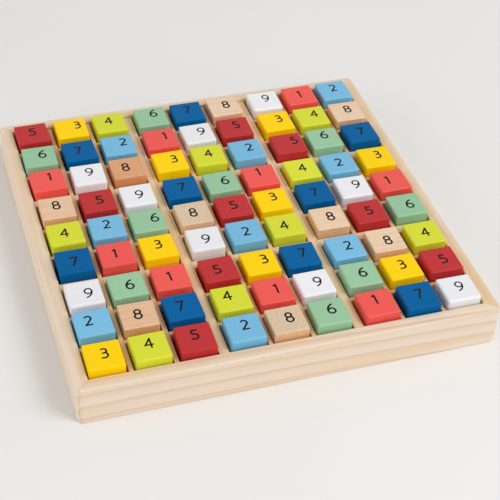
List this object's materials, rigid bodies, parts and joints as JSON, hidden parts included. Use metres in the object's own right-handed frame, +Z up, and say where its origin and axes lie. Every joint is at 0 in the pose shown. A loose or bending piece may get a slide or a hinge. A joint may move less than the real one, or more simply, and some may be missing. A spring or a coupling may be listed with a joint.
{
  "type": "sudoku board",
  "caption": "Square wooden sudoku board: a mitred tray with a lattice of square pockets that hold loose coloured number cubes, each lifted out by hand.",
  "frame": {"origin": "centre of the tray's underside, on the surface that it stands on", "axes": "+X to the right along the front rail, +Y to the back, +Z up out of the pockets"},
  "size_m": [0.2414, 0.2414, 0.0296],
  "materials": {
    "pine_rail": "sanded, unvarnished",
    "pine_slat": "sanded, unvarnished",
    "plywood_panel": "sanded, unvarnished",
    "coral_paint": "satin paint",
    "sky_paint": "satin paint",
    "yellow_paint": "satin paint",
    "lime_paint": "satin paint",
    "crimson_paint": "satin paint",
    "sage_paint": "satin paint",
    "navy_paint": "satin paint",
    "plain_beech": "sanded, clear coat",
    "white_paint": "satin paint"
  },
  "bodies": {
    "tray": {"front_rail": "pine_rail", "right_rail": "pine_rail", "back_rail": "pine_rail", "left_rail": "pine_rail", "base_panel": "plywood_panel", "column_slat_1": "pine_slat", "column_slat_2": "pine_slat", "column_slat_3": "pine_slat", "column_slat_4": "pine_slat", "column_slat_5": "pine_slat", "column_slat_6": "pine_slat", "column_slat_7": "pine_slat", "column_slat_8": "pine_slat", "row_slat_1": "pine_slat", "row_slat_2": "pine_slat", "row_slat_3": "pine_slat", "row_slat_4": "pine_slat", "row_slat_5": "pine_slat", "row_slat_6": "pine_slat", "row_slat_7": "pine_slat", "row_slat_8": "pine_slat"},
    "one_cubes_back": {"one_cubes_back": "coral_paint"},
    "one_cubes_middle": {"one_cubes_middle": "coral_paint"},
    "one_cubes_front": {"one_cubes_front": "coral_paint"},
    "two_cubes_back": {"two_cubes_back": "sky_paint"},
    "two_cubes_middle": {"two_cubes_middle": "sky_paint"},
    "two_cubes_front": {"two_cubes_front": "sky_paint"},
    "three_cubes_back": {"three_cubes_back": "yellow_paint"},
    "three_cubes_middle": {"three_cubes_middle": "yellow_paint"},
    "three_cubes_front": {"three_cubes_front": "yellow_paint"},
    "four_cubes_back": {"four_cubes_back": "lime_paint"},
    "four_cubes_middle": {"four_cubes_middle": "lime_paint"},
    "four_cubes_front": {"four_cubes_front": "lime_paint"},
    "five_cubes_back": {"five_cubes_back": "crimson_paint"},
    "five_cubes_middle": {"five_cubes_middle": "crimson_paint"},
    "five_cubes_front": {"five_cubes_front": "crimson_paint"},
    "six_cubes_back": {"six_cubes_back": "sage_paint"},
    "six_cubes_middle": {"six_cubes_middle": "sage_paint"},
    "six_cubes_front": {"six_cubes_front": "sage_paint"},
    "seven_cubes_back": {"seven_cubes_back": "navy_paint"},
    "seven_cubes_middle": {"seven_cubes_middle": "navy_paint"},
    "seven_cubes_front": {"seven_cubes_front": "navy_paint"},
    "eight_cubes_back": {"eight_cubes_back": "plain_beech"},
    "eight_cubes_middle": {"eight_cubes_middle": "plain_beech"},
    "eight_cubes_front": {"eight_cubes_front": "plain_beech"},
    "nine_cubes_back": {"nine_cubes_back": "white_paint"},
    "nine_cubes_middle": {"nine_cubes_middle": "white_paint"},
    "nine_cubes_front": {"nine_cubes_front": "white_paint"}
  },
  "joints": [
    {"name": "one_cubes_back_lift", "type": "slide", "parent": "tray", "child": "one_cubes_back", "axis": [0, 0, 1], "range_m": [0, 0.03]},
    {"name": "one_cubes_middle_lift", "type": "slide", "parent": "tray", "child": "one_cubes_middle", "axis": [0, 0, 1], "range_m": [0, 0.03]},
    {"name": "one_cubes_front_lift", "type": "slide", "parent": "tray", "child": "one_cubes_front", "axis": [0, 0, 1], "range_m": [0, 0.03]},
    {"name": "two_cubes_back_lift", "type": "slide", "parent": "tray", "child": "two_cubes_back", "axis": [0, 0, 1], "range_m": [0, 0.03]},
    {"name": "two_cubes_middle_lift", "type": "slide", "parent": "tray", "child": "two_cubes_middle", "axis": [0, 0, 1], "range_m": [0, 0.03]},
    {"name": "two_cubes_front_lift", "type": "slide", "parent": "tray", "child": "two_cubes_front", "axis": [0, 0, 1], "range_m": [0, 0.03]},
    {"name": "three_cubes_back_lift", "type": "slide", "parent": "tray", "child": "three_cubes_back", "axis": [0, 0, 1], "range_m": [0, 0.03]},
    {"name": "three_cubes_middle_lift", "type": "slide", "parent": "tray", "child": "three_cubes_middle", "axis": [0, 0, 1], "range_m": [0, 0.03]},
    {"name": "three_cubes_front_lift", "type": "slide", "parent": "tray", "child": "three_cubes_front", "axis": [0, 0, 1], "range_m": [0, 0.03]},
    {"name": "four_cubes_back_lift", "type": "slide", "parent": "tray", "child": "four_cubes_back", "axis": [0, 0, 1], "range_m": [0, 0.03]},
    {"name": "four_cubes_middle_lift", "type": "slide", "parent": "tray", "child": "four_cubes_middle", "axis": [0, 0, 1], "range_m": [0, 0.03]},
    {"name": "four_cubes_front_lift", "type": "slide", "parent": "tray", "child": "four_cubes_front", "axis": [0, 0, 1], "range_m": [0, 0.03]},
    {"name": "five_cubes_back_lift", "type": "slide", "parent": "tray", "child": "five_cubes_back", "axis": [0, 0, 1], "range_m": [0, 0.03]},
    {"name": "five_cubes_middle_lift", "type": "slide", "parent": "tray", "child": "five_cubes_middle", "axis": [0, 0, 1], "range_m": [0, 0.03]},
    {"name": "five_cubes_front_lift", "type": "slide", "parent": "tray", "child": "five_cubes_front", "axis": [0, 0, 1], "range_m": [0, 0.03]},
    {"name": "six_cubes_back_lift", "type": "slide", "parent": "tray", "child": "six_cubes_back", "axis": [0, 0, 1], "range_m": [0, 0.03]},
    {"name": "six_cubes_middle_lift", "type": "slide", "parent": "tray", "child": "six_cubes_middle", "axis": [0, 0, 1], "range_m": [0, 0.03]},
    {"name": "six_cubes_front_lift", "type": "slide", "parent": "tray", "child": "six_cubes_front", "axis": [0, 0, 1], "range_m": [0, 0.03]},
    {"name": "seven_cubes_back_lift", "type": "slide", "parent": "tray", "child": "seven_cubes_back", "axis": [0, 0, 1], "range_m": [0, 0.03]},
    {"name": "seven_cubes_middle_lift", "type": "slide", "parent": "tray", "child": "seven_cubes_middle", "axis": [0, 0, 1], "range_m": [0, 0.03]},
    {"name": "seven_cubes_front_lift", "type": "slide", "parent": "tray", "child": "seven_cubes_front", "axis": [0, 0, 1], "range_m": [0, 0.03]},
    {"name": "eight_cubes_back_lift", "type": "slide", "parent": "tray", "child": "eight_cubes_back", "axis": [0, 0, 1], "range_m": [0, 0.03]},
    {"name": "eight_cubes_middle_lift", "type": "slide", "parent": "tray", "child": "eight_cubes_middle", "axis": [0, 0, 1], "range_m": [0, 0.03]},
    {"name": "eight_cubes_front_lift", "type": "slide", "parent": "tray", "child": "eight_cubes_front", "axis": [0, 0, 1], "range_m": [0, 0.03]},
    {"name": "nine_cubes_back_lift", "type": "slide", "parent": "tray", "child": "nine_cubes_back", "axis": [0, 0, 1], "range_m": [0, 0.03]},
    {"name": "nine_cubes_middle_lift", "type": "slide", "parent": "tray", "child": "nine_cubes_middle", "axis": [0, 0, 1], "range_m": [0, 0.03]},
    {"name": "nine_cubes_front_lift", "type": "slide", "parent": "tray", "child": "nine_cubes_front", "axis": [0, 0, 1], "range_m": [0, 0.03]}
  ]
}
